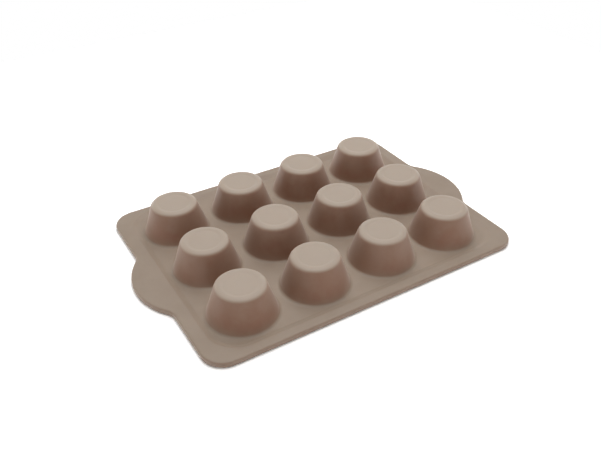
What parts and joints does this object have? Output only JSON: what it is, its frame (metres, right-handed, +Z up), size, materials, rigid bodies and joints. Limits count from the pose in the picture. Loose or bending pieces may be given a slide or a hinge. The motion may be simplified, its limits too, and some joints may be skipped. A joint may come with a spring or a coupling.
{
  "type": "muffin pan",
  "caption": "Flexible silicone muffin pan lying upside down, with tapered round cups, a thick rim stiffened by a steel wire, and a rounded handle tab at each end.",
  "frame": {"origin": "centre of the flat face that the rim rests on while the pan lies upside down, on the table plane", "axes": "+X along the long side through both handle tabs, +Y across the pan, +Z up from the table to the cup bottoms. In use the pan is turned over about X, so its cups open along -Z"},
  "size_m": [0.3966, 0.27, 0.0381],
  "materials": {
    "silicone": "matte",
    "steel_wire": "drawn wire"
  },
  "bodies": {
    "root": {"silicone_body": "silicone", "steel_frame": "steel_wire"}
  },
  "joints": []
}
